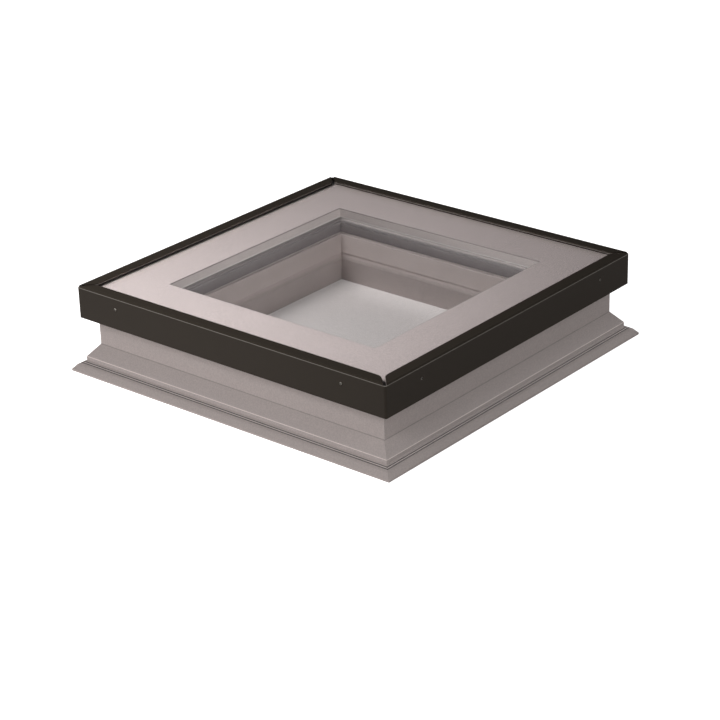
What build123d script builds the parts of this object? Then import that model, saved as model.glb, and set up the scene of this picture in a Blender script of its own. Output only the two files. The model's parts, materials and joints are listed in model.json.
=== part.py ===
"""Flat-glass roof skylight on a hollow upstand with a flared base flange.

The origin is the centre of the base, +Z is up and all sizes are in millimetres.
Sections are drawn as (w, z): w is the distance out from the middle, z the height.
"""
import os
from math import sqrt

from build123d import *

# Overall sizes
COVER_HALF = 470.0
COVER_TOP = 219.7
COVER_BOTTOM = 138.0
FLANGE_HALF = 490.5
THROAT_HALF = 300.0
LONG = 1200.0
EPS = 0.5

# Upstand profile, a hollow extrusion
UPSTAND_WALL = 3.0
WEB = 2.2
UPSTAND_OUTER = 437.7
UPSTAND_TOP = 165.0
REBATE_W = 390.0
REBATE_Z = 137.0
FOLD_Z = 66.0
SHOULDER_W = 463.8
SHOULDER_Z = 36.5
STEP_FOOT_Z = 26.0
FLANGE_BREAK_W = 480.0
FLANGE_BREAK_Z = 16.5
FLANGE_TIP_Z = 4.6
BASE_INNER_HALF = 320.0
LINING_Z = 87.0
LINING_DEPTH = 4.0
LEDGE_Z = 68.0
INNER_WEB_W = 337.0
INNER_CHAMBERS_Z = (34.0, 93.0)
SCREW_PORT_HALF = 2.6
SCREW_PORT_Z = 150.0
SCREW_LINE_W = 469.3
SCREW_LINE_PITCH = 3.9
SCREW_LINE_DEPTH = 1.1

# Carrier profile, the dark hollow frame that holds the glass
CARRIER_WALL = 2.5
CARRIER_INNER = 304.0
CARRIER_OUTER = 468.0
CARRIER_FOOT_Z = 141.0
CARRIER_STEP_Z = 169.0
CARRIER_STEP_W = 388.0
SHELF_Z = 167.0
SHELF_W = 345.0
CARRIER_TOP = 200.0
KEY_CHAMBER = (396.0, 428.0)
KEY_SLOT = (403.0, 421.0)
KEY_REACH = 62.0
KEY_SLACK = 0.3

# Glazing unit
OUTER_PANE_HALF = 463.0
OUTER_PANE_T = 6.0
GLASS_TOP = 210.5
ENAMEL_T = 0.4
ENAMEL_INNER = 316.5
SPACER_HALF = 315.0
SPACER_WIDTH = 7.0
SPACER_CORNER_R = 3.0
CAVITY = 24.0
INNER_PANE_HALF = 338.0
INNER_PANE_T = 8.8
BLOCK_SIZE = (60.0, 22.0)
BLOCK_PLACE = 200.0

# Dark cover, one folded strip
SHEET = 2.0
BEND_R = 4.0
CORNER_R = 5.0
LIP_INNER = 438.8
LIP_GAP = 8.0
LIP_END_R = 26.0

# Seals, as distances out from the middle
BED_GASKET = (309.0, 331.0)
INNER_SEAT_SEAL = (308.0, 320.0)
INNER_BOND_BEAD = (352.0, 372.0)
OUTER_SEAT_SEAL = (419.0, 431.0)
OUTER_BOND_TAPE = (438.0, 453.0)
RIM_GASKET = (441.4, 462.0)
RIM_BEAD_R = 1.2

# Screws
CARRIER_SCREW_PLACE = 250.0
CARRIER_SCREW_W = 412.0
CARRIER_SCREW_R = 2.4
CARRIER_SCREW_LENGTH = 18.0
COVER_SCREW_PLACE = 345.0
COVER_SCREW_Z = 188.5
COVER_SCREW_R = 1.75
COVER_SCREW_LENGTH = 14.0
CLEARANCE = 0.2

SIDES = {"front": -90.0, "right": 0.0, "back": 90.0, "left": 180.0}


def outline(points):
    """Closed face through (w, z) points."""
    return make_face(Polyline(*points, close=True))


def plate(w0, w1, z0, z1):
    """Section rectangle between two distances and two heights."""
    return Pos((w0 + w1) / 2, (z0 + z1) / 2) * Rectangle(w1 - w0, z1 - z0)


def near(vertices, w, z):
    """The section corner nearest to a point."""
    return sorted(vertices, key=lambda v: (v.X - w) ** 2 + (v.Y - z) ** 2)[0]


def rounded(face, corners, radius):
    """Round the named corners of a section."""
    for w, z in corners:
        face = fillet(near(face.vertices(), w, z), radius)
    return face


def wedge(gap=0.0):
    """Prism that holds the right-hand quarter of the plan, cut on both diagonals."""
    start = gap / sqrt(2)
    quarter = make_face(Polyline((start, 0), (LONG + start, LONG), (LONG + start, -LONG), close=True))
    return extrude(Pos(0, 0, -LONG / 2) * quarter, amount=LONG)


def mitred(section, gap=0.0):
    """One side: the section pulled along Y and mitred at both ends."""
    pulled = extrude(Plane.XZ * section, amount=LONG, both=True)
    return pulled & wedge(gap)


def ring(section):
    """One unbroken square frame of a section."""
    side = mitred(section)
    frame = side
    for turn in (90, 180, 270):
        frame += Rot(0, 0, turn) * side
    return frame.clean()


def slab(half, z0, z1, corner=0.0):
    """Square plate centred on the axis."""
    square = RectangleRounded(2 * half, 2 * half, corner) if corner else Rectangle(2 * half, 2 * half)
    return extrude(Pos(0, 0, z0) * square, amount=z1 - z0)


def on_side(shape, side):
    """Turn a shape made for the right side to the named side."""
    return Rot(0, 0, SIDES[side]) * shape


def upstand_outline():
    """Outside of the upstand: inner wall, rebate, outer wall, flared foot and flange."""
    inner_wall = [
        (BASE_INNER_HALF, 0),
        (THROAT_HALF, LEDGE_Z),
        (THROAT_HALF + LINING_DEPTH, LINING_Z - 4),
        (THROAT_HALF + LINING_DEPTH + 1, LINING_Z - 1),
        (THROAT_HALF, LINING_Z),
        (THROAT_HALF, REBATE_Z),
    ]
    top_and_outer_wall = [
        (REBATE_W, REBATE_Z),
        (REBATE_W, UPSTAND_TOP),
        (UPSTAND_OUTER, UPSTAND_TOP),
        (UPSTAND_OUTER, FOLD_Z),
    ]
    foot = [
        (SHOULDER_W, SHOULDER_Z - 1),
        (SHOULDER_W, STEP_FOOT_Z),
        (FLANGE_BREAK_W, FLANGE_BREAK_Z),
        (FLANGE_HALF, FLANGE_TIP_Z),
        (FLANGE_HALF, 0),
    ]
    return outline(inner_wall + top_and_outer_wall + foot)


def screw_line_grooves():
    """Two fine grooves along the flange, where the roof screws are started on site."""
    slope = (STEP_FOOT_Z - FLANGE_BREAK_Z) / (FLANGE_BREAK_W - SHOULDER_W)
    cuts = Sketch()
    for step in range(2):
        w = SCREW_LINE_W + step * SCREW_LINE_PITCH
        z = STEP_FOOT_Z - slope * (w - SHOULDER_W)
        cuts += outline([
            (w - SCREW_LINE_DEPTH, z + slope * SCREW_LINE_DEPTH + EPS),
            (w - SCREW_LINE_DEPTH, z + slope * SCREW_LINE_DEPTH),
            (w, z - SCREW_LINE_DEPTH),
            (w + SCREW_LINE_DEPTH, z - slope * SCREW_LINE_DEPTH),
            (w + SCREW_LINE_DEPTH, z + slope * SCREW_LINE_DEPTH + EPS),
        ])
    return cuts


def upstand_webs():
    """Inner ribs that split the hollow upstand into chambers."""
    half = WEB / 2
    webs = plate(INNER_WEB_W - half, INNER_WEB_W + half, 0, REBATE_Z)
    for z in INNER_CHAMBERS_Z:
        webs += plate(THROAT_HALF, INNER_WEB_W, z, z + WEB)
    webs += plate(REBATE_W, UPSTAND_OUTER, REBATE_Z - UPSTAND_WALL, REBATE_Z)
    webs += plate(UPSTAND_OUTER - UPSTAND_WALL, UPSTAND_OUTER, 0, FOLD_Z)
    port_wall = SCREW_PORT_HALF + WEB
    webs += plate(CARRIER_SCREW_W - port_wall, CARRIER_SCREW_W + port_wall, SCREW_PORT_Z, UPSTAND_TOP)
    return webs


def upstand_section():
    """Full hollow section of the upstand, with its chambers open at the mitres."""
    solid = upstand_outline()
    solid = rounded(solid, [(THROAT_HALF, REBATE_Z), (SHOULDER_W, SHOULDER_Z), (UPSTAND_OUTER, UPSTAND_TOP)], 2.5)
    solid = rounded(solid, [(FLANGE_BREAK_W, FLANGE_BREAK_Z)], 8.0)
    hollow = offset(upstand_outline(), amount=-UPSTAND_WALL, kind=Kind.INTERSECTION) - upstand_webs()
    port = (CARRIER_SCREW_W - SCREW_PORT_HALF, CARRIER_SCREW_W + SCREW_PORT_HALF)
    return solid - hollow - screw_line_grooves() - plate(*port, SCREW_PORT_Z - EPS, UPSTAND_TOP + EPS)


def insulation_section():
    """Foam bar that fills the main chamber of the upstand."""
    slack = 0.6
    left = INNER_WEB_W + WEB / 2 + slack
    right = UPSTAND_OUTER - UPSTAND_WALL - slack
    top = REBATE_Z - UPSTAND_WALL - slack
    return plate(left, right, UPSTAND_WALL, top)


def carrier_section():
    """Hollow section of the glass carrier: foot, glazing shelf, key channel and outer box."""
    points = [
        (CARRIER_INNER, CARRIER_FOOT_Z),
        (CARRIER_STEP_W, CARRIER_FOOT_Z),
        (CARRIER_STEP_W, CARRIER_STEP_Z),
        (CARRIER_OUTER, CARRIER_STEP_Z),
        (CARRIER_OUTER, CARRIER_TOP),
        (SHELF_W, CARRIER_TOP),
        (SHELF_W, SHELF_Z),
        (CARRIER_INNER, SHELF_Z),
    ]
    solid = rounded(outline(points), [(CARRIER_INNER, CARRIER_FOOT_Z), (CARRIER_INNER, SHELF_Z)], 1.5)
    hollow = offset(outline(points), amount=-CARRIER_WALL, kind=Kind.INTERSECTION)
    webs = plate(SHELF_W, SHELF_W + CARRIER_WALL, CARRIER_FOOT_Z, SHELF_Z)
    webs += plate(KEY_CHAMBER[0] - CARRIER_WALL, KEY_CHAMBER[0], CARRIER_FOOT_Z, CARRIER_TOP)
    webs += plate(KEY_CHAMBER[1], KEY_CHAMBER[1] + CARRIER_WALL, CARRIER_STEP_Z, CARRIER_TOP)
    slot = plate(*KEY_SLOT, CARRIER_TOP - CARRIER_WALL - EPS, CARRIER_TOP + EPS)
    return solid - (hollow - webs) - slot


def upright(x, y, radius, z0, z1):
    """Vertical cylinder between two heights."""
    return Pos(x, y, z0) * extrude(Circle(radius), amount=z1 - z0)


def level(y, radius, w0, w1):
    """Horizontal cylinder that points out of the right side, at the cover screws' height."""
    return extrude(Plane((w0, y, COVER_SCREW_Z), z_dir=(1, 0, 0)) * Circle(radius), amount=w1 - w0)


def carrier_side():
    """One carrier length with its screw holes and the holes for the cover screws."""
    side = mitred(carrier_section())
    side &= slab(CARRIER_OUTER, CARRIER_FOOT_Z, CARRIER_TOP, CORNER_R - SHEET + CLEARANCE)
    floor = (CARRIER_STEP_Z - EPS, CARRIER_STEP_Z + CARRIER_WALL + EPS)
    wall = (CARRIER_OUTER - CARRIER_WALL - EPS, CARRIER_OUTER + EPS)
    for sign in (-1, 1):
        side -= upright(CARRIER_SCREW_W, sign * CARRIER_SCREW_PLACE, CARRIER_SCREW_R + CLEARANCE, *floor)
        side -= level(sign * COVER_SCREW_PLACE, COVER_SCREW_R + CLEARANCE, *wall)
    return side


def corner_key():
    """Cast corner cleat: two legs with a lightening pocket each, for the key channels of two carriers."""
    rim = 4.5
    lead_in = 3.0
    low = KEY_CHAMBER[0] + KEY_SLACK
    high = KEY_CHAMBER[1] - KEY_SLACK
    z0 = CARRIER_STEP_Z + CARRIER_WALL
    height = CARRIER_TOP - CARRIER_WALL - KEY_SLACK - z0
    tip = low - KEY_REACH
    leg = Pos((tip + high) / 2, (low + high) / 2, z0) * Rectangle(high - tip, high - low)
    leg = extrude(leg, amount=height)
    leg = chamfer(leg.edges().filter_by(Axis.Z).group_by(Axis.X)[0], lead_in)
    pocket = Rectangle(KEY_REACH - 2 * rim, high - low - 2 * rim)
    leg -= Pos((tip + low) / 2, (low + high) / 2, z0 + rim) * extrude(pocket, amount=height)
    return leg + mirror(leg, about=Plane((0, 0, 0), z_dir=(1, -1, 0)))


def cover_frame():
    """Skirt bent round the corners with a folded lip on each side, notched at the corners."""
    bend_z = COVER_TOP - BEND_R
    skirt = slab(COVER_HALF, COVER_BOTTOM, bend_z, CORNER_R)
    skirt -= slab(COVER_HALF - SHEET, COVER_BOTTOM - 1, bend_z + 1, CORNER_R - SHEET)
    centre = (COVER_HALF - BEND_R, bend_z)
    bend = Pos(*centre) * (Circle(BEND_R) - Circle(BEND_R - SHEET))
    bend &= plate(centre[0], COVER_HALF, bend_z, COVER_TOP)
    lip = plate(LIP_INNER, centre[0], COVER_TOP - SHEET, COVER_TOP)
    side = mitred(bend + lip, LIP_GAP)
    inner_ends = side.edges().filter_by(Axis.Z).sort_by(SortBy.DISTANCE)
    inner_ends = [e for e in inner_ends if abs(e.center().X - LIP_INNER) < EPS]
    side = fillet(inner_ends, LIP_END_R)
    frame = skirt
    for name in SIDES:
        frame += on_side(side, name)
    hole = (COVER_SCREW_R + CLEARANCE, COVER_HALF - SHEET - EPS, COVER_HALF + EPS)
    for name in SIDES:
        for sign in (-1, 1):
            frame -= on_side(level(sign * COVER_SCREW_PLACE, *hole), name)
    return frame


def rim_gasket():
    """Seal strip between the lip and the glass, with a soft bead at its inner edge."""
    strip = plate(*RIM_GASKET, GLASS_TOP, COVER_TOP - SHEET)
    strip = rounded(strip, [(RIM_GASKET[0], GLASS_TOP)], RIM_BEAD_R)
    return mitred(strip, LIP_GAP + 2 * RIM_BEAD_R)


def eight(piece, place):
    """Copies of a right-side piece, two a side at the same distance from the side's middle."""
    return [on_side(Pos(0, sign * place, 0) * piece, name) for name in SIDES for sign in (-1, 1)]


def cover_screws():
    """Small pan-head screws with a six-sided recess, through the skirt into the carrier."""
    head_r = 3.4
    head_h = 1.9
    flat_r = 2.3
    recess_r = 1.4
    half_section = outline([
        (0, head_h),
        (flat_r, head_h),
        (head_r, 0),
        (COVER_SCREW_R, 0),
        (COVER_SCREW_R, -COVER_SCREW_LENGTH),
        (0, -COVER_SCREW_LENGTH),
    ])
    one = revolve(Plane.XZ * half_section, Axis.Z)
    one -= Pos(0, 0, head_h / 2) * extrude(RegularPolygon(recess_r, 6), amount=head_h)
    outward = Plane((COVER_HALF, 0, COVER_SCREW_Z), z_dir=(1, 0, 0))
    return eight(outward.location * one, COVER_SCREW_PLACE)


def carrier_screws():
    """Hexagon-head screws from the floor of the key channel down into the upstand's screw port."""
    head_r = 4.6
    head_h = 3.5
    seat_z = CARRIER_STEP_Z + CARRIER_WALL
    one = upright(CARRIER_SCREW_W, 0, CARRIER_SCREW_R, seat_z - CARRIER_SCREW_LENGTH, seat_z)
    one += Pos(CARRIER_SCREW_W, 0, seat_z) * extrude(RegularPolygon(head_r, 6), amount=head_h)
    return eight(one, CARRIER_SCREW_PLACE)


def setting_blocks():
    """Plastic blocks that centre the unit between the carrier's upstands."""
    length, height = BLOCK_SIZE
    block = Box(SHELF_W - INNER_PANE_HALF, length, height, align=(Align.MIN, Align.CENTER, Align.MIN))
    return eight(Pos(INNER_PANE_HALF, 0, SHELF_Z) * block, BLOCK_PLACE)


def glazing_unit():
    """Panes, printed border, spacer and edge seal, from the top down."""
    pane_under = GLASS_TOP - OUTER_PANE_T
    cavity_top = pane_under - ENAMEL_T
    inner_top = cavity_top - CAVITY
    outer_pane = slab(OUTER_PANE_HALF, pane_under, GLASS_TOP, 3.0)
    outer_pane = chamfer(outer_pane.faces().sort_by(Axis.Z)[-1].edges(), 0.8)
    border = slab(OUTER_PANE_HALF - 1.5, cavity_top, pane_under)
    border -= slab(ENAMEL_INNER, cavity_top - 1, pane_under + 1, 2.0)
    spacer_outer = SPACER_HALF + SPACER_WIDTH
    spacer = slab(spacer_outer, inner_top, cavity_top, SPACER_CORNER_R + SPACER_WIDTH)
    spacer -= slab(SPACER_HALF, inner_top - 1, cavity_top + 1, SPACER_CORNER_R)
    seal = slab(INNER_PANE_HALF, inner_top, cavity_top)
    seal -= slab(spacer_outer, inner_top - 1, cavity_top + 1, SPACER_CORNER_R + SPACER_WIDTH)
    inner_pane = slab(INNER_PANE_HALF, inner_top - INNER_PANE_T, inner_top)
    return {
        "outer_pane": outer_pane,
        "enamel_border": border,
        "spacer_frame": spacer,
        "edge_sealant": seal,
        "inner_pane": inner_pane,
    }


def seals():
    """Bed gasket, bonding beads and the two compression seals on the upstand."""
    enamel_under = GLASS_TOP - OUTER_PANE_T - ENAMEL_T
    inner_under = enamel_under - CAVITY - INNER_PANE_T
    return {
        "bed_gasket": ring(plate(*BED_GASKET, SHELF_Z, inner_under)),
        "inner_bond_bead": ring(plate(*INNER_BOND_BEAD, CARRIER_TOP, enamel_under)),
        "outer_bond_tape": ring(plate(*OUTER_BOND_TAPE, CARRIER_TOP, enamel_under)),
        "inner_seat_seal": ring(plate(*INNER_SEAT_SEAL, REBATE_Z, CARRIER_FOOT_Z)),
        "outer_seat_seal": ring(plate(*OUTER_SEAT_SEAL, UPSTAND_TOP, CARRIER_STEP_Z)),
    }


def build():
    """Every node of the skylight by name."""
    nodes = {}
    upstand = mitred(upstand_section())
    insulation = mitred(insulation_section())
    carrier = carrier_side()
    gasket = rim_gasket()
    for name in SIDES:
        nodes["upstand_" + name] = on_side(upstand, name)
        nodes["insulation_" + name] = on_side(insulation, name)
        nodes["carrier_" + name] = on_side(carrier, name)
        nodes["rim_gasket_" + name] = on_side(gasket, name)
    key = corner_key()
    for number, turn in enumerate((0, 90, 180, 270), start=1):
        nodes[f"corner_key_{number}"] = Rot(0, 0, turn) * key
    nodes.update(glazing_unit())
    nodes.update(seals())
    nodes["cover_frame"] = cover_frame()
    nodes["setting_blocks"] = Compound(children=setting_blocks())
    nodes["carrier_screws"] = Compound(children=carrier_screws())
    nodes["cover_screws"] = Compound(children=cover_screws())
    return nodes


os.makedirs("parts", exist_ok=True)
for node, shape in build().items():
    export_step(shape, f"parts/{node}.step")
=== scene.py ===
import json
import math

import bmesh
import bpy
from mathutils import Matrix, Vector


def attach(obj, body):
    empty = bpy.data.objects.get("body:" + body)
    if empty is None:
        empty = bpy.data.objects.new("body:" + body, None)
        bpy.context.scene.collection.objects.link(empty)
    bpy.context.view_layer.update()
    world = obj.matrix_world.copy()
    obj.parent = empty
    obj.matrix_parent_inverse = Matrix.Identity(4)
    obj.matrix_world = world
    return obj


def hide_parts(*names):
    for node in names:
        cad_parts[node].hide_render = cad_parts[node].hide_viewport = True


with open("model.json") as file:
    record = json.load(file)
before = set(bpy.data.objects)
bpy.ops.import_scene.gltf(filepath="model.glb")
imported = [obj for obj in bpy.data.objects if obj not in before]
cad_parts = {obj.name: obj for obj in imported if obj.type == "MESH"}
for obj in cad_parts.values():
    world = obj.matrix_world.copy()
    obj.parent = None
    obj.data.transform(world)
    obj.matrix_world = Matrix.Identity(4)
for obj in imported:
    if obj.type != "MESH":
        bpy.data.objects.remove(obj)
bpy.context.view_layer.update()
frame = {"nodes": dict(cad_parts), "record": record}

nodes = frame["nodes"]
pieces = dict(nodes)

# Camera, as solved from the straight edges of the photo, in degrees, metres and millimetres of lens
CAMERA_AZIMUTH = 40.163
CAMERA_ELEVATION = 24.436
CAMERA_ROLL = -1.664
CAMERA_DISTANCE = 5.4549
CAMERA_SIDE = 0.0043
CAMERA_DROP = 0.0192
CAMERA_LENS = 111.96
CAMERA_SENSOR = 36.0
CAMERA_REACH = 100.0

# Heights of the upstand's section, in metres up from the base
FLANGE_SIDE_Z = 0.012
SHOULDER_Z = 0.0352
FOLD_Z = 0.066
LINING_Z = 0.087
# Heights between which the painted shade low on the inner wall fades out
FOOT_SHADE_FADES_Z = (0.066, LINING_Z)

# Places on the upstand's section, in metres out from the middle
INNER_WALL_TO = 0.34
FOOT_FROM = 0.43
GROOVES = (0.4693, 0.4732)
RIDGE = 0.5 * sum(GROOVES)

# Lines of the cover, its screws, the print and the rubber under the lip, in metres
SKIRT_FROM = 0.468
# Height of the painted highlight along the cover's bend
BEND_Z = 0.2152
COVER_SCREW = (0.345, 0.1885)
# Radii within which the screw's drive recess has painted shade
SCREW_RECESS = (0.0016, 0.0022)
PRINT_SHADE_FROM = (0.418, 0.44)
# Heights between which the rim rubber turns from painted shade to painted light
RIM_UPPER_Z = (0.2138, 0.2145)

# Lines of the glazing unit and its bed, in metres
SPACER_LOW_Z = 0.1801
SPACER_TOP_Z = 0.2041
# Heights of the spacer's painted highlight at its lower rim
SPACER_RIM_Z = (SPACER_LOW_Z + 0.0026, SPACER_LOW_Z + 0.0032)
SPACER_BUTYL_Z = (SPACER_TOP_Z - 0.0019, SPACER_TOP_Z - 0.0015)
# Heights and places of the bed rubber's painted light on top and under the spacer
BED_TOP_Z = (0.1708, 0.1711)
BED_STRIP_FROM = (0.3132, 0.3152)
GLASS_CLEARANCE = 0.00005

# Closer than this, in metres, two points are one, or a point belongs to a piece's top
SAME_POINT = 0.000001
TOP_MARGIN = 0.00001

# Half widths of lines, in metres, and the share of each that is at full strength: painted shade
# in the crease and grooves, the welds, and painted highlights on the ridge, shoulder and bend
CREASE_HALF = 0.0012
GROOVE_HALF = 0.0017
WELD_HALF = 0.0006
RIDGE_HALF = 0.0009
SHOULDER_HALF = 0.0012
BEND_HALF = 0.0009
LINE_CORE = 0.4

# Stretch that draws a noise out into level lines
DRAW_STRETCH = (0.004, 0.004, 1.0)

# Colours, as linear light
PVC = (0.58, 0.51, 0.49)
DARK_PVC = (0.24, 0.218, 0.222)
COVER = (0.0228, 0.0188, 0.015)
COVER_SHEEN = (1.0, 0.86, 0.72)
# Painted highlight along the cover's bend
BEND_HIGHLIGHT = (0.22, 0.205, 0.185)
PRINT = (0.76, 0.665, 0.655)
# Painted shade cast by the lip on the print
PRINT_LIP_SHADE = (0.3, 0.26, 0.2)
SPACER = (0.72, 0.655, 0.64)
# Painted highlight on the spacer's lower rim
SPACER_RIM_HIGHLIGHT = (0.9, 0.87, 0.85)
BUTYL = (0.05, 0.045, 0.043)
SEALANT = (0.03, 0.03, 0.03)
SEAL_RUBBER = (0.075, 0.066, 0.058)
PALE_RUBBER = (0.75, 0.69, 0.67)
BED_RUBBER = (0.27, 0.25, 0.253)
# Painted light on the top of the bed rubber, and on its strip in the spacer's shade
BED_TOP_LIGHT = (0.38, 0.345, 0.34)
BED_STRIP_LIGHT = (0.64, 0.585, 0.565)
# Painted shade at the rim rubber's foot and painted light on its upper half
RIM_FOOT_SHADE = (0.02, 0.014, 0.012)
RIM_UPPER_LIGHT = (0.2, 0.18, 0.165)
BLOCK_PLASTIC = (0.08, 0.14, 0.27)
CAST_KEY = (0.6, 0.6, 0.6)
ZINC = (0.6, 0.6, 0.56)
SCREW_PAINT = (0.3, 0.28, 0.25)
# Painted shade in the screw's drive recess
SCREW_RECESS_SHADE = (0.01, 0.009, 0.008)
FOAM = (0.7, 0.68, 0.62)
CLEAR_GLASS = (0.947, 0.944, 0.942)
LAMINATED_GLASS = (0.94, 0.942, 0.944)
FLOOR_INSIDE = (0.88, 0.83, 0.82)
FLOOR_OUTSIDE = (0.44, 0.415, 0.41)
WHITE = (1.0, 1.0, 1.0)

# How far the print turns to its painted lip shade, and the spacer to butyl
PRINT_LIP_SHADE_SHARE = 0.3
BUTYL_SHARE = 0.45

# Refraction: the inner pane's is low, so that it doesn't mirror the spacer as a pale streak
FLOAT_IOR = 1.5
INNER_IOR = 1.15

# Skins, each the strength of a bump and its depth in metres
PROFILE_SKIN = (0.15, 0.0006)
COAT_SKIN = (0.2, 0.0003)
SCREW_SKIN = (0.15, 0.0003)
PLAIN_SKIN = (0.15, 0.0004)

# Floor: half its width, the distances out between which it darkens, and those between which the
# walls' feet begin to glow, in metres, and the strength of each glow
FLOOR_HALF = 30.0
FLOOR_DARKENS = (0.33, 0.45)
WALL_FOOT = (0.2, 0.31)
WALL_FOOT_GLOW = 0.15
FLOOR_GLOW = 0.07
FLOOR_SEEN = 1.2

# Sky: strengths, and the sines of elevation between which the glow from the sides fades out
FRONT_GLOW = 0.4
SIDE_GLOW = 0.52
ALL_ROUND_GLOW = 0.02
SKY_SEEN = 1.0
GLOW_FADES = (0.05, 0.7)

# Area lamps: place in metres, watts, and width and depth in metres
OVERHEAD_PANEL = ((-0.558, -0.911, 1.6), 36.5, (0.9, 0.7))
THROAT_PANEL = ((0.82, -0.32, 0.9), 10.0, (0.6, 0.6))
NOT_OVERHEAD = ["upstand_front", "upstand_right", "spacer_frame", "carrier_back"]
IN_THE_THROAT = [
    "upstand_left", "carrier_left", "carrier_back", "spacer_frame", "pane_bed_gasket", "inner_seat_seal",
]

# Wide suns, each for a few pieces: name, azimuth, elevation, strength and the pieces
FILL_SPREAD = 30.0
FILL_ELEVATION = 38.0
SKIRT_ELEVATION = 8.0
NEAR_SIDES = ["upstand_front", "upstand_right", "cover_frame"]
FILLS = [
    ("front_fill", 0.0, FILL_ELEVATION, 1.0, NEAR_SIDES),
    ("side_fill", 90.0, FILL_ELEVATION, 0.42, NEAR_SIDES),
    ("back_fill", 180.0, FILL_ELEVATION, 0.6, ["upstand_back"]),
    ("left_fill", 270.0, FILL_ELEVATION, 0.6, ["upstand_left"]),
    ("well_fill", 0.0, FILL_ELEVATION, 0.5, ["carrier_back"]),
    ("skirt_fill", 90.0, SKIRT_ELEVATION, 0.8, ["cover_frame"]),
]

# Narrow suns that only glint, each with where it shines from, and the pieces they leave out
EDGE_SPREAD = 12.0
EDGE_STRENGTH = 0.8
EDGE_SUNS = [("front_edge_sun", (-0.587, -0.786, 0.194)), ("right_edge_sun", (0.705, 0.70, 0.115))]
NO_GLINT = ["outer_pane", "inner_pane", "cover_frame"]

# Pieces with a finish of their own in place of their slot's
OWN_FINISH = {
    "inner_pane": "laminated_glass",
    "bed_gasket": "grey_rubber",
    "inner_seat_seal": "pale_rubber",
    "rim_gasket_front": "rim_rubber",
    "rim_gasket_right": "rim_rubber",
    "rim_gasket_back": "rim_rubber",
    "rim_gasket_left": "rim_rubber",
}


def direction(azimuth, elevation):
    """Unit vector from the middle of the object towards a point round it."""
    around = math.radians(azimuth)
    above = math.radians(elevation)
    level = math.cos(above)
    return Vector((math.sin(around) * level, -math.cos(around) * level, math.sin(above)))


def add_camera():
    """Camera at the photo's angle and distance."""
    out = direction(CAMERA_AZIMUTH, CAMERA_ELEVATION)
    level = Vector((0, 0, 1)).cross(out).normalized()
    up = out.cross(level)
    roll = math.radians(CAMERA_ROLL)
    right = math.cos(roll) * level + math.sin(roll) * up
    top = math.cos(roll) * up - math.sin(roll) * level
    data = bpy.data.cameras.new("photo_camera")
    data.lens = CAMERA_LENS
    data.sensor_width = CAMERA_SENSOR
    data.clip_end = CAMERA_REACH
    camera = bpy.data.objects.new("photo_camera", data)
    place = out * CAMERA_DISTANCE + right * CAMERA_SIDE - top * CAMERA_DROP
    camera.matrix_world = Matrix((
        (right.x, top.x, out.x, place.x),
        (right.y, top.y, out.y, place.y),
        (right.z, top.z, out.z, place.z),
        (0, 0, 0, 1),
    ))
    bpy.context.scene.collection.objects.link(camera)
    bpy.context.scene.camera = camera


def rgb(colour):
    """Colour with full alpha."""
    return (*colour, 1.0)


class Graph:
    """Short calls for building a node tree."""

    def __init__(self, tree):
        self.tree = tree
        self.nodes = tree.nodes
        self.links = tree.links

    def put(self, value, socket):
        """Set a socket to a value, or link another socket to it."""
        if isinstance(value, bpy.types.NodeSocket):
            self.links.new(value, socket)
        else:
            socket.default_value = value

    def add(self, kind, inputs=None, **settings):
        """New node with its settings and its inputs."""
        node = self.nodes.new(kind)
        for name, value in settings.items():
            setattr(node, name, value)
        for name, value in (inputs or {}).items():
            self.put(value, node.inputs[name])
        return node

    def math(self, operation, a, b=0.0):
        """One Math node's result."""
        return self.add("ShaderNodeMath", {0: a, 1: b}, operation=operation).outputs[0]

    def blend(self, mask, a, b):
        """Colour a where the mask is 0 and b where it is 1."""
        return self.add("ShaderNodeMix", {0: mask, 6: a, 7: b}, data_type="RGBA").outputs[2]

    def step(self, value, limits, at_low=0.0, at_high=1.0):
        """Smooth step of a value between two limits."""
        inputs = {0: value, 1: limits[0], 2: limits[1], 3: at_low, 4: at_high}
        return self.add("ShaderNodeMapRange", inputs, interpolation_type="SMOOTHSTEP").outputs[0]

    def line(self, value, centre, half):
        """Mask that is 1 on a line and fades to 0 at half its width."""
        away = self.math("ABSOLUTE", self.math("SUBTRACT", value, centre))
        return self.step(away, (LINE_CORE * half, half), 1.0, 0.0)

    def place(self):
        """X, Y and Z of the point on the piece."""
        coordinates = self.add("ShaderNodeTexCoord").outputs["Object"]
        return self.add("ShaderNodeSeparateXYZ", {0: coordinates}).outputs

    def distance_out(self, place):
        """Distance out from the middle, as the sections of the four sides are drawn."""
        return self.math("MAXIMUM", self.math("ABSOLUTE", place["X"]), self.math("ABSOLUTE", place["Y"]))

    def shade(self, colour, factor):
        """Colour times a factor."""
        inputs = {0: colour, "Scale": factor}
        return self.add("ShaderNodeVectorMath", inputs, operation="SCALE").outputs[0]

    def group(self, tree, values=None):
        """Outputs of a shared group that is placed with its own values."""
        return self.add("ShaderNodeGroup", values, node_tree=tree).outputs

    def surface(self, colour, height, skin, looks):
        """Principled surface with a fine skin."""
        strength, depth = skin
        bump = self.add("ShaderNodeBump", {"Height": height, "Strength": strength, "Distance": depth})
        inputs = {"Base Color": colour, "Normal": bump.outputs[0]}
        return self.add("ShaderNodeBsdfPrincipled", inputs | looks).outputs[0]


def new_material(name):
    """Empty material, its graph and the socket that its surface goes to."""
    material = bpy.data.materials.new(name)
    material.use_nodes = True
    material.node_tree.nodes.clear()
    graph = Graph(material.node_tree)
    return material, graph, graph.add("ShaderNodeOutputMaterial").inputs[0]


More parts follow.
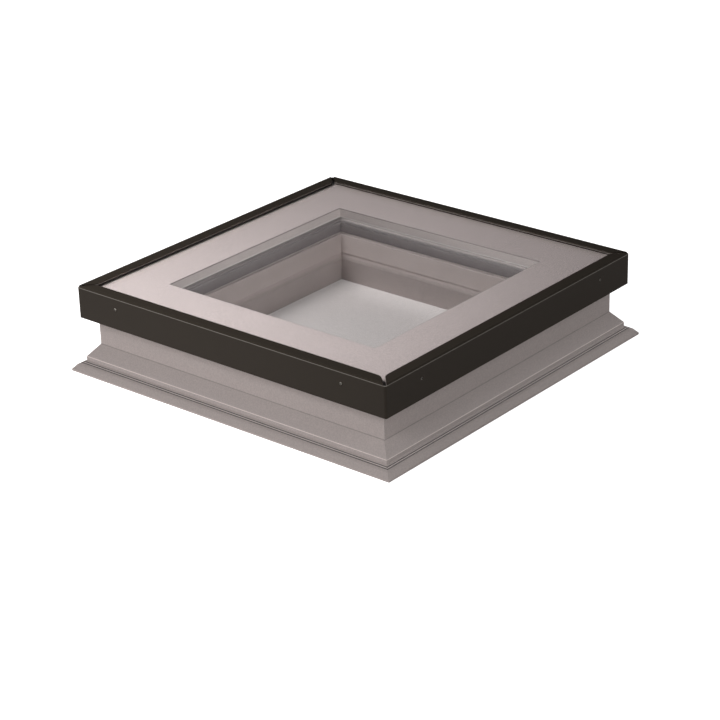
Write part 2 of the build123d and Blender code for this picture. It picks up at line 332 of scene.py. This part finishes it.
def new_group(name, inputs, outputs):
    """Graph of a node group with named numbers in and out, and its sockets for both."""
    tree = bpy.data.node_groups.new(name, "ShaderNodeTree")
    for label, value in inputs.items():
        socket = tree.interface.new_socket(label, in_out="INPUT", socket_type="NodeSocketFloat")
        socket.default_value = value
    for label in outputs:
        tree.interface.new_socket(label, in_out="OUTPUT", socket_type="NodeSocketFloat")
    graph = Graph(tree)
    given = graph.add("NodeGroupInput").outputs
    return graph, given, graph.add("NodeGroupOutput").inputs


def make_grain():
    """Fine speckle over broad mottling, as on satin plastic: a tint factor about 1 and a height."""
    inputs = {"Speckle Scale": 300.0, "Speckle": 0.08, "Mottle Scale": 12.0, "Mottle": 0.04}
    graph, given, result = new_group("surface_grain", inputs, ["Tint", "Height"])
    place = graph.add("ShaderNodeTexCoord").outputs["Object"]

    def noise(scale, detail):
        return graph.add("ShaderNodeTexNoise", {"Vector": place, "Scale": scale, "Detail": detail}).outputs[0]

    def centred(value, amount):
        return graph.math("MULTIPLY", graph.math("SUBTRACT", value, 0.5), amount)

    fine = noise(given["Speckle Scale"], 2.0)
    broad = noise(given["Mottle Scale"], 3.0)
    uneven = graph.math("ADD", centred(fine, given["Speckle"]), centred(broad, given["Mottle"]))
    graph.put(graph.math("ADD", uneven, 1.0), result["Tint"])
    graph.put(fine, result["Height"])
    return graph.tree


def make_draw_lines():
    """Faint level lines along an extruded bar: a tint factor about 1 and a height."""
    inputs = {"Line Scale": 500.0, "Depth": 0.05}
    graph, given, result = new_group("draw_lines", inputs, ["Tint", "Height"])
    coordinates = graph.add("ShaderNodeTexCoord").outputs["Object"]
    place = graph.add("ShaderNodeMapping", {"Vector": coordinates, "Scale": DRAW_STRETCH}).outputs[0]
    noise = {"Vector": place, "Scale": given["Line Scale"], "Detail": 3.0}
    lines = graph.add("ShaderNodeTexNoise", noise).outputs[0]
    centred = graph.math("MULTIPLY", graph.math("SUBTRACT", lines, 0.5), given["Depth"])
    graph.put(graph.math("ADD", centred, 1.0), result["Tint"])
    graph.put(lines, result["Height"])
    return graph.tree


def make_profile_light_and_welds():
    """Painted shade and highlights, and welds, that follow the section: a tint factor about 1 and a height.

    Darker: the mitre welds, and painted shade in the crease over the foot, in the screw grooves
    and low on the inner wall.
    Paler: painted highlights on the ridge between the grooves and on the shoulder of the step.
    """
    inputs = {"Crease Shade": 0.3, "Groove Shade": 0.75, "Weld": 0.12, "Painted Highlight": 0.65, "Foot Shade": 0.27}
    graph, given, result = new_group("profile_painted_light_and_welds", inputs, ["Tint", "Height"])
    place = graph.place()
    across = graph.math("ABSOLUTE", place["X"])
    along = graph.math("ABSOLUTE", place["Y"])
    height = place["Z"]
    out = graph.math("MAXIMUM", across, along)
    on_foot = graph.math("GREATER_THAN", out, FOOT_FROM)
    on_top = graph.math("GREATER_THAN", height, FLANGE_SIDE_Z)
    inside = graph.math("LESS_THAN", out, INNER_WALL_TO)

    # painted shade in the crease over the foot and in the two screw grooves
    crease = graph.math("MULTIPLY", graph.line(height, FOLD_Z, CREASE_HALF), on_foot)
    both = graph.math("ADD", *[graph.line(out, groove, GROOVE_HALF) for groove in GROOVES])
    grooves = graph.math("MULTIPLY", graph.math("MULTIPLY", both, on_top), on_foot)
    weld = graph.line(graph.math("SUBTRACT", across, along), 0.0, WELD_HALF)
    # painted shade, darker towards the foot of the inner wall
    foot_shade = graph.math("MULTIPLY", graph.step(height, FOOT_SHADE_FADES_Z, 1.0, 0.0), inside)
    # painted highlights on the ridge between the grooves and on the shoulder of the step
    ridge = graph.math("MULTIPLY", graph.line(out, RIDGE, RIDGE_HALF), on_top)
    shoulder = graph.math("MULTIPLY", graph.line(height, SHOULDER_Z, SHOULDER_HALF), on_foot)

    shade_and_weld_lines = 0.0
    for name, mask in {"Crease Shade": crease, "Foot Shade": foot_shade, "Groove Shade": grooves, "Weld": weld}.items():
        shade_and_weld_lines = graph.math("ADD", shade_and_weld_lines, graph.math("MULTIPLY", mask, given[name]))
    painted_highlight = graph.math("MULTIPLY", graph.math("ADD", ridge, shoulder), given["Painted Highlight"])
    graph.put(graph.math("ADD", graph.math("SUBTRACT", 1.0, shade_and_weld_lines), painted_highlight), result["Tint"])
    graph.put(graph.math("SUBTRACT", 1.0, weld), result["Height"])
    return graph.tree


def profile_material(name, colour, grain, lines, roughness, speckle, depth, painted_light_and_welds=None):
    """Extruded plastic: satin, finely speckled, with faint draw lines and perhaps painted light and welds."""
    material, graph, out = new_material(name)
    layers = [graph.group(grain, {"Speckle": speckle}), graph.group(lines, {"Depth": depth})]
    if painted_light_and_welds:
        layers.append(graph.group(painted_light_and_welds))
    tint = layers[0]["Tint"]
    height = layers[0]["Height"]
    for layer in layers[1:]:
        tint = graph.math("MULTIPLY", tint, layer["Tint"])
        height = graph.math("ADD", height, layer["Height"])
    looks = {"Roughness": roughness, "Specular IOR Level": 0.4}
    graph.put(graph.surface(graph.shade(colour, tint), height, PROFILE_SKIN, looks), out)
    return material


def cover_material(grain):
    """Satin powder coat with its fine pebbled skin, and a painted highlight along the bend."""
    material, graph, out = new_material("powder_coated_cover")
    coat = {"Speckle Scale": 900.0, "Speckle": 0.1, "Mottle Scale": 9.0, "Mottle": 0.06}
    grains = graph.group(grain, coat)
    place = graph.place()
    on_skirt = graph.math("GREATER_THAN", graph.distance_out(place), SKIRT_FROM)
    # painted highlight along the bend of the skirt
    painted_highlight = graph.math("MULTIPLY", graph.line(place["Z"], BEND_Z, BEND_HALF), on_skirt)
    colour = graph.blend(painted_highlight, graph.shade(COVER, grains["Tint"]), rgb(BEND_HIGHLIGHT))
    looks = {"Roughness": 0.42, "Specular IOR Level": 0.35, "Specular Tint": rgb(COVER_SHEEN)}
    graph.put(graph.surface(colour, grains["Height"], COAT_SKIN, looks), out)
    return material


def plain_material(name, colour, grain, roughness, metallic=0.0, speckle=0.1, scale=400.0):
    """Even material with a fine grain in colour and skin."""
    material, graph, out = new_material(name)
    grains = graph.group(grain, {"Speckle Scale": scale, "Speckle": speckle})
    looks = {"Roughness": roughness, "Metallic": metallic}
    graph.put(graph.surface(graph.shade(colour, grains["Tint"]), grains["Height"], PLAIN_SKIN, looks), out)
    return material


def border_material(grain):
    """Fired print under the glass, with painted shade of the lip: darker and browner towards the lip."""
    material, graph, out = new_material("fired_border")
    grains = graph.group(grain, {"Speckle Scale": 260.0, "Speckle": 0.8})
    # painted shade of the lip, darker and browner towards it
    lip_shade = graph.step(graph.distance_out(graph.place()), PRINT_SHADE_FROM, 0.0, PRINT_LIP_SHADE_SHARE)
    colour = graph.blend(lip_shade, graph.shade(PRINT, grains["Tint"]), rgb(PRINT_LIP_SHADE))
    graph.put(graph.surface(colour, grains["Height"], PLAIN_SKIN, {"Roughness": 0.5}), out)
    return material


def rim_material(grain):
    """Rubber under the lip: painted light on its upper half, over a foot in painted shade."""
    material, graph, out = new_material("rim_rubber")
    grains = graph.group(grain, {"Speckle Scale": 600.0, "Speckle": 0.1})
    # painted light on the upper half, painted shade below
    upper = graph.step(graph.place()["Z"], RIM_UPPER_Z)
    colour = graph.blend(upper, rgb(RIM_FOOT_SHADE), graph.shade(RIM_UPPER_LIGHT, grains["Tint"]))
    looks = {"Roughness": 0.7, "Specular IOR Level": 0.2}
    graph.put(graph.surface(colour, grains["Height"], PLAIN_SKIN, looks), out)
    return material


def bed_material(grain):
    """Grey rubber under the inner pane with painted light: paler on top, and paler still under the spacer."""
    material, graph, out = new_material("grey_rubber")
    grains = graph.group(grain, {"Speckle Scale": 400.0, "Speckle": 0.1})
    place = graph.place()
    # painted light on the top, stronger under the spacer's shade
    on_top = graph.step(place["Z"], BED_TOP_Z)
    under_spacer = graph.step(graph.distance_out(place), BED_STRIP_FROM)
    top = graph.blend(under_spacer, rgb(BED_TOP_LIGHT), rgb(BED_STRIP_LIGHT))
    colour = graph.blend(on_top, graph.shade(BED_RUBBER, grains["Tint"]), top)
    graph.put(graph.surface(colour, grains["Height"], PLAIN_SKIN, {"Roughness": 0.6}), out)
    return material


def spacer_material(grain):
    """Matt bar with a dark line of butyl under the outer pane and a painted highlight on its lower rim."""
    material, graph, out = new_material("spacer_bar")
    grains = graph.group(grain, {"Speckle Scale": 400.0, "Speckle": 0.08})
    height = graph.place()["Z"]
    butyl = graph.math("MULTIPLY", graph.step(height, SPACER_BUTYL_Z), BUTYL_SHARE)
    # painted highlight on the lower rim
    rim_highlight = graph.step(height, SPACER_RIM_Z, 1.0, 0.0)
    bar = graph.blend(rim_highlight, graph.shade(SPACER, grains["Tint"]), rgb(SPACER_RIM_HIGHLIGHT))
    colour = graph.blend(butyl, bar, rgb(BUTYL))
    graph.put(graph.surface(colour, grains["Height"], PLAIN_SKIN, {"Roughness": 0.5}), out)
    return material


def screw_material(grain):
    """Painted head, with painted shade in its drive recess."""
    material, graph, out = new_material("painted_screw")
    grains = graph.group(grain, {"Speckle Scale": 900.0, "Speckle": 0.1})
    place = graph.place()
    nearer = graph.math("MINIMUM", graph.math("ABSOLUTE", place["X"]), graph.math("ABSOLUTE", place["Y"]))
    sideways = graph.math("POWER", graph.math("SUBTRACT", nearer, COVER_SCREW[0]), 2.0)
    upwards = graph.math("POWER", graph.math("SUBTRACT", place["Z"], COVER_SCREW[1]), 2.0)
    radius = graph.math("SQRT", graph.math("ADD", sideways, upwards))
    # painted shade in the drive recess
    recess_shade = graph.step(radius, SCREW_RECESS, 1.0, 0.0)
    colour = graph.blend(recess_shade, graph.shade(SCREW_PAINT, grains["Tint"]), rgb(SCREW_RECESS_SHADE))
    graph.put(graph.surface(colour, grains["Height"], SCREW_SKIN, {"Roughness": 0.3}), out)
    return material


def glass_material(name, colour, ior):
    """Clear glass: lamps and soft light pass straight through it, and the eye sees it bend."""
    material, graph, out = new_material(name)
    looks = {"Base Color": rgb(colour), "Roughness": 0.0, "IOR": ior, "Transmission Weight": 1.0}
    glass = graph.add("ShaderNodeBsdfPrincipled", looks)
    straight = graph.add("ShaderNodeBsdfTransparent", {"Color": rgb(colour)})
    ray = graph.add("ShaderNodeLightPath").outputs
    soft = graph.math("MAXIMUM", ray["Is Shadow Ray"], ray["Is Diffuse Ray"])
    mix = graph.add("ShaderNodeMixShader", {0: soft, 1: glass.outputs[0], 2: straight.outputs[0]})
    graph.put(mix.outputs[0], out)
    return material


def make_materials():
    """One material for each slot of the record, and for each finish of single pieces."""
    grain = make_grain()
    lines = make_draw_lines()
    painted_light_and_welds = make_profile_light_and_welds()
    upstand = {"roughness": 0.42, "speckle": 0.42, "depth": 0.08, "painted_light_and_welds": painted_light_and_welds}
    carrier = {"roughness": 0.4, "speckle": 0.12, "depth": 0.08}
    return {
        "white_profile": profile_material("satin_upstand", PVC, grain, lines, **upstand),
        "dark_profile": profile_material("dark_carrier", DARK_PVC, grain, lines, **carrier),
        "dark_cover": cover_material(grain),
        "clear_glass": glass_material("float_glass", CLEAR_GLASS, FLOAT_IOR),
        "laminated_glass": glass_material("laminated_glass", LAMINATED_GLASS, INNER_IOR),
        "enamel": border_material(grain),
        "spacer": spacer_material(grain),
        "sealant": plain_material("edge_sealant", SEALANT, grain, roughness=0.6),
        "seal_rubber": plain_material("seal_rubber", SEAL_RUBBER, grain, roughness=0.6),
        "grey_rubber": bed_material(grain),
        "pale_rubber": plain_material("pale_rubber", PALE_RUBBER, grain, roughness=0.6),
        "rim_rubber": rim_material(grain),
        "block_plastic": plain_material("block_plastic", BLOCK_PLASTIC, grain, roughness=0.45),
        "cast_key": plain_material("cast_key", CAST_KEY, grain, roughness=0.4, metallic=1.0),
        "zinc_screw": plain_material("zinc_screw", ZINC, grain, roughness=0.3, metallic=1.0),
        "dark_screw": screw_material(grain),
        "foam": plain_material("cut_foam", FOAM, grain, roughness=0.9, speckle=0.3, scale=600.0),
    }


def dress_nodes(materials):
    """Give every node of the frame its own finish or that of its slot."""
    for row in frame["record"]["subparts"]:
        finish = OWN_FINISH.get(row["node"], row["material_slot"])
        mesh = nodes[row["node"]].data
        mesh.materials.clear()
        mesh.materials.append(materials[finish])


def add_lowered_copy(node, name):
    """Copy of a node whose top lies a hair lower, clear of the glass that it touches."""
    work = bmesh.new()
    work.from_mesh(nodes[node].data)
    bmesh.ops.remove_doubles(work, verts=work.verts, dist=SAME_POINT)
    top = max(vertex.co.z for vertex in work.verts)
    upper = [vertex for vertex in work.verts if vertex.co.z > top - TOP_MARGIN]
    bmesh.ops.translate(work, verts=upper, vec=(0, 0, -GLASS_CLEARANCE))
    mesh = bpy.data.meshes.new(name)
    work.to_mesh(mesh)
    work.free()
    mesh.materials.append(nodes[node].data.materials[0])
    piece = bpy.data.objects.new(name, mesh)
    bpy.context.scene.collection.objects.link(piece)
    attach(piece, "root")
    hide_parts(node)
    pieces[name] = piece


def floor_material():
    """White for the camera; for other rays bright inside the throat and half as bright outside it.

    A small glow, stronger near the feet of the inner walls, stands for light from all round.
    """
    material, graph, out = new_material("studio_floor")
    distance = graph.distance_out(graph.place())
    outside = graph.step(distance, FLOOR_DARKENS)
    colour = graph.blend(outside, rgb(FLOOR_INSIDE), rgb(FLOOR_OUTSIDE))
    matt = graph.add("ShaderNodeBsdfDiffuse", {"Color": colour})
    near_wall = graph.step(distance, WALL_FOOT, 0.0, WALL_FOOT_GLOW)
    in_throat = graph.math("MULTIPLY", near_wall, graph.math("SUBTRACT", 1.0, outside))
    unseen = graph.math("ADD", in_throat, FLOOR_GLOW)
    by_camera = graph.add("ShaderNodeLightPath").outputs["Is Camera Ray"]
    strength = graph.add("ShaderNodeMix", {0: by_camera, 2: unseen, 3: FLOOR_SEEN}).outputs[0]
    glow = graph.add("ShaderNodeEmission", {"Color": rgb(WHITE), "Strength": strength})
    both = graph.add("ShaderNodeAddShader", {0: matt.outputs[0], 1: glow.outputs[0]})
    graph.put(both.outputs[0], out)
    return material


def add_floor():
    """Plain ground on which the object stands."""
    work = bmesh.new()
    bmesh.ops.create_grid(work, x_segments=1, y_segments=1, size=FLOOR_HALF)
    mesh = bpy.data.meshes.new("studio_floor")
    work.to_mesh(mesh)
    work.free()
    mesh.materials.append(floor_material())
    floor = bpy.data.objects.new("studio_floor", mesh)
    bpy.context.scene.collection.objects.link(floor)


def add_sky():
    """Soft light from low in front and from the right, and plain white for the camera."""
    world = bpy.data.worlds.new("studio")
    world.use_nodes = True
    world.node_tree.nodes.clear()
    bpy.context.scene.world = world
    graph = Graph(world.node_tree)
    out = graph.add("ShaderNodeOutputWorld").inputs[0]
    ray = graph.add("ShaderNodeTexCoord").outputs["Generated"]

    def glow_from(azimuth, strength):
        vectors = {0: ray, 1: direction(azimuth, 0.0)}
        facing = graph.add("ShaderNodeVectorMath", vectors, operation="DOT_PRODUCT").outputs["Value"]
        return graph.math("MULTIPLY", graph.step(facing, (0.0, 1.0)), strength)

    height = graph.add("ShaderNodeSeparateXYZ", {0: ray}).outputs["Z"]
    low = graph.step(height, GLOW_FADES, 1.0, 0.0)
    sides = graph.math("ADD", glow_from(0.0, FRONT_GLOW), glow_from(90.0, SIDE_GLOW))
    light = graph.math("ADD", graph.math("MULTIPLY", sides, low), ALL_ROUND_GLOW)
    by_camera = graph.add("ShaderNodeLightPath").outputs["Is Camera Ray"]
    strength = graph.add("ShaderNodeMix", {0: by_camera, 2: light, 3: SKY_SEEN}).outputs[0]
    sky = graph.add("ShaderNodeBackground", {"Color": rgb(WHITE), "Strength": strength})
    graph.put(sky.outputs[0], out)


def link_light(light, names, state):
    """Let a light fall only on the named pieces, or on all but them."""
    receivers = bpy.data.collections.new(light.name + "_receivers")
    for name in names:
        receivers.objects.link(pieces[name])
    for row in receivers.collection_objects:
        row.light_linking.link_state = state
    light.light_linking.receiver_collection = receivers


def add_light(name, kind, place, strength, **settings):
    """Light at a place, aimed at the middle of the object."""
    data = bpy.data.lights.new(name, kind)
    data.energy = strength
    for label, value in settings.items():
        setattr(data, label, value)
    light = bpy.data.objects.new(name, data)
    light.location = place
    light.rotation_mode = "QUATERNION"
    light.rotation_quaternion = Vector(place).to_track_quat("Z", "Y")
    light.visible_camera = False
    bpy.context.scene.collection.objects.link(light)
    return light


def add_panel(name, panel, names, state):
    """Soft area light that no surface mirrors."""
    place, watts, (width, depth) = panel
    light = add_light(name, "AREA", place, watts, shape="RECTANGLE", size=width, size_y=depth)
    light.visible_glossy = False
    link_light(light, names, state)


def add_lights():
    """All lamps: a panel from above, one into the throat, fills for single sides, and suns that glint."""
    add_panel("overhead_panel", OVERHEAD_PANEL, NOT_OVERHEAD, "EXCLUDE")
    add_panel("throat_panel", THROAT_PANEL, IN_THE_THROAT, "INCLUDE")
    for name, azimuth, elevation, strength, names in FILLS:
        place = direction(azimuth, elevation)
        fill = add_light(name, "SUN", place, strength, angle=math.radians(FILL_SPREAD))
        fill.visible_glossy = False
        link_light(fill, names, "INCLUDE")
    for name, place in EDGE_SUNS:
        sun = add_light(name, "SUN", place, EDGE_STRENGTH, angle=math.radians(EDGE_SPREAD))
        sun.visible_diffuse = False
        link_light(sun, NO_GLINT, "EXCLUDE")


add_camera()
dress_nodes(make_materials())
add_lowered_copy("enamel_border", "printed_border")
add_lowered_copy("bed_gasket", "pane_bed_gasket")
add_floor()
add_sky()
add_lights()
bpy.context.scene.view_settings.view_transform = "Standard"
